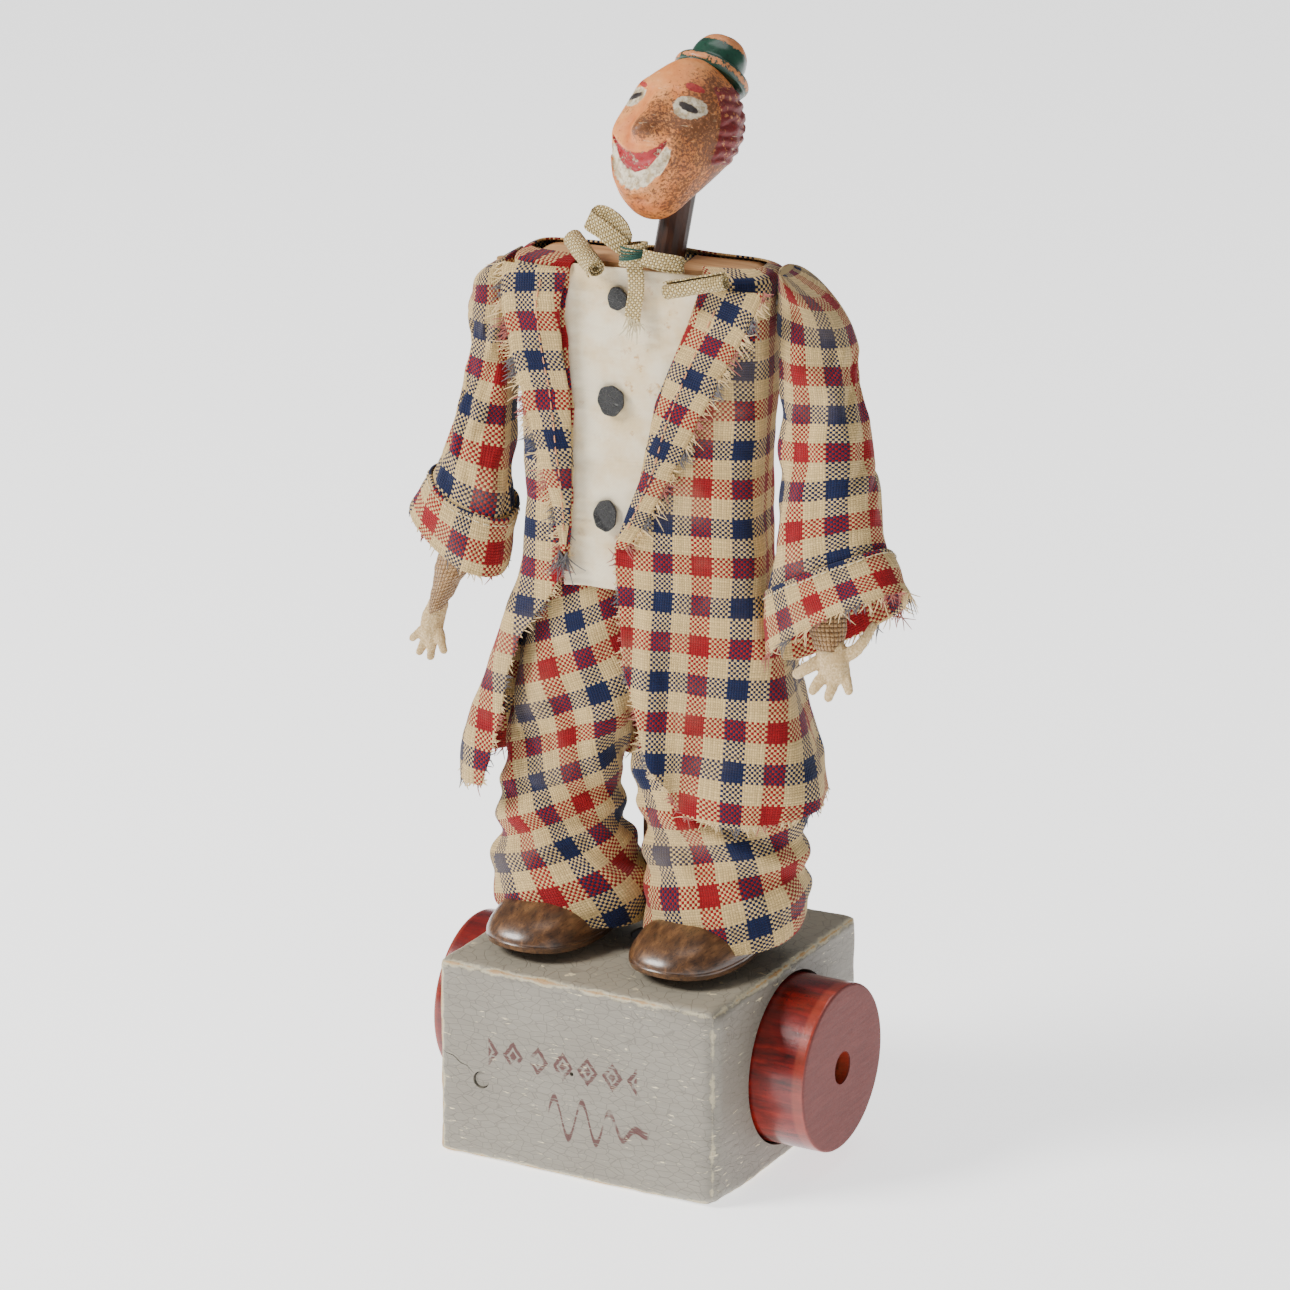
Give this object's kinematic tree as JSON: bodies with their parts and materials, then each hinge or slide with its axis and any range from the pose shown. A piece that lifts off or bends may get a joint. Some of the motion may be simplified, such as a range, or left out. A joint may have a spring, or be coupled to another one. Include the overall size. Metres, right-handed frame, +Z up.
{
  "type": "dancing clown puppet",
  "caption": "Wooden clown doll in a checked cloth suit, lifted and dropped above its block by a cam between two hand-turned rollers.",
  "frame": {"origin": "middle of the block's underside", "axes": "+Z up, -Y out of the block's front face, +X to the right of a person facing that front"},
  "size_m": [0.1383, 0.078, 0.2856],
  "materials": {
    "grey_painted_wood": "worn matt grey paint over pine",
    "bare_wood": "bare",
    "red_stained_wood": "red stain, rubbed to a dull gloss",
    "dark_wood": "dark brown stain",
    "varnished_wood": "brown varnish",
    "checked_cloth": "plain weave in cream, red and blue checks",
    "shirt_cloth": "aged cotton",
    "gauze_ribbon": "open weave",
    "stockinette": "knitted",
    "felt": "felt",
    "button_leatherette": "crackled",
    "flesh_paint": "aged paint over a moulded head",
    "green_paint": "chipped paint",
    "steel": "plain"
  },
  "bodies": {
    "base": {"base_block": "grey_painted_wood", "retaining_peg": "bare_wood", "rod_guide_bush": "dark_wood"},
    "roller": {"right_roller": "red_stained_wood", "left_roller": "red_stained_wood", "roller_axle": "bare_wood", "lift_cam": "bare_wood", "cam_pin": "steel"},
    "figure": {"follower_foot": "dark_wood", "lift_rod": "dark_wood", "pelvis_block": "bare_wood", "left_hip_pin": "steel", "right_hip_pin": "steel", "chest_board": "bare_wood", "neck_pin": "steel", "left_shoulder_screw": "steel", "right_shoulder_screw": "steel", "shirt_front": "shirt_cloth", "shirt_button_top": "button_leatherette", "shirt_button_middle": "button_leatherette", "shirt_button_bottom": "button_leatherette", "coat_back": "checked_cloth", "coat_left_front": "checked_cloth", "coat_right_front": "checked_cloth", "left_lapel": "checked_cloth", "right_lapel": "checked_cloth", "left_collar_roll": "gauze_ribbon", "right_collar_roll": "gauze_ribbon", "tie_knot": "gauze_ribbon", "tie_left_loop": "gauze_ribbon", "tie_right_loop": "gauze_ribbon", "tie_tail": "gauze_ribbon", "trouser_seat": "checked_cloth"},
    "neck": {"neck_rod": "dark_wood"},
    "head": {"head": "flesh_paint", "hat": "green_paint"},
    "left_arm": {"left_arm_stick": "bare_wood", "left_sleeve": "checked_cloth", "left_sleeve_cuff": "checked_cloth", "left_forearm": "stockinette", "left_hand": "felt"},
    "left_leg": {"left_leg_stick": "bare_wood", "left_trouser_leg": "checked_cloth", "left_trouser_cuff": "checked_cloth", "left_shoe": "varnished_wood", "left_shoe_plug": "bare_wood"},
    "right_arm": {"right_arm_stick": "bare_wood", "right_sleeve": "checked_cloth", "right_sleeve_cuff": "checked_cloth", "right_forearm": "stockinette", "right_hand": "felt"},
    "right_leg": {"right_leg_stick": "bare_wood", "right_trouser_leg": "checked_cloth", "right_trouser_cuff": "checked_cloth", "right_shoe": "varnished_wood", "right_shoe_plug": "bare_wood"}
  },
  "joints": [
    {"name": "roller_turn", "type": "hinge", "parent": "base", "child": "roller", "pos_m": [0, 0.002, 0.027], "axis": [1, 0, 0], "range_deg": [0, 270]},
    {"name": "figure_lift", "type": "slide", "parent": "base", "child": "figure", "axis": [0, 0, 1], "range_m": [0, 0.006]},
    {"name": "head_nod", "type": "hinge", "parent": "figure", "child": "neck", "pos_m": [0.00364, 0.00071, 0.2265], "axis": [0.9903, 0.1392, 0], "range_deg": [-6, 6]},
    {"name": "head_turn", "type": "hinge", "parent": "neck", "child": "head", "pos_m": [0.00364, 0.00071, 0.2265], "axis": [0.0747, 0.2193, 0.9728], "range_deg": [-30, 30]},
    {"name": "left_arm_swing", "type": "hinge", "parent": "figure", "child": "left_arm", "pos_m": [-0.03743, -0.00526, 0.226], "axis": [-0.9903, -0.1392, 0], "range_deg": [-15, 70]},
    {"name": "right_arm_swing", "type": "hinge", "parent": "figure", "child": "right_arm", "pos_m": [0.03743, 0.00526, 0.226], "axis": [-0.9903, -0.1392, 0], "range_deg": [-15, 70]},
    {"name": "left_leg_swing", "type": "hinge", "parent": "figure", "child": "left_leg", "pos_m": [-0.02, -0.00281, 0.124], "axis": [-0.9903, -0.1392, 0], "range_deg": [-4, 7]},
    {"name": "right_leg_swing", "type": "hinge", "parent": "figure", "child": "right_leg", "pos_m": [0.0206, 0.0029, 0.124], "axis": [-0.9903, -0.1392, 0], "range_deg": [-4, 7]}
  ],
  "couplings": [
    {"joint": "roller_turn", "follows": "figure_lift", "rad_per_m": 785.3}
  ]
}
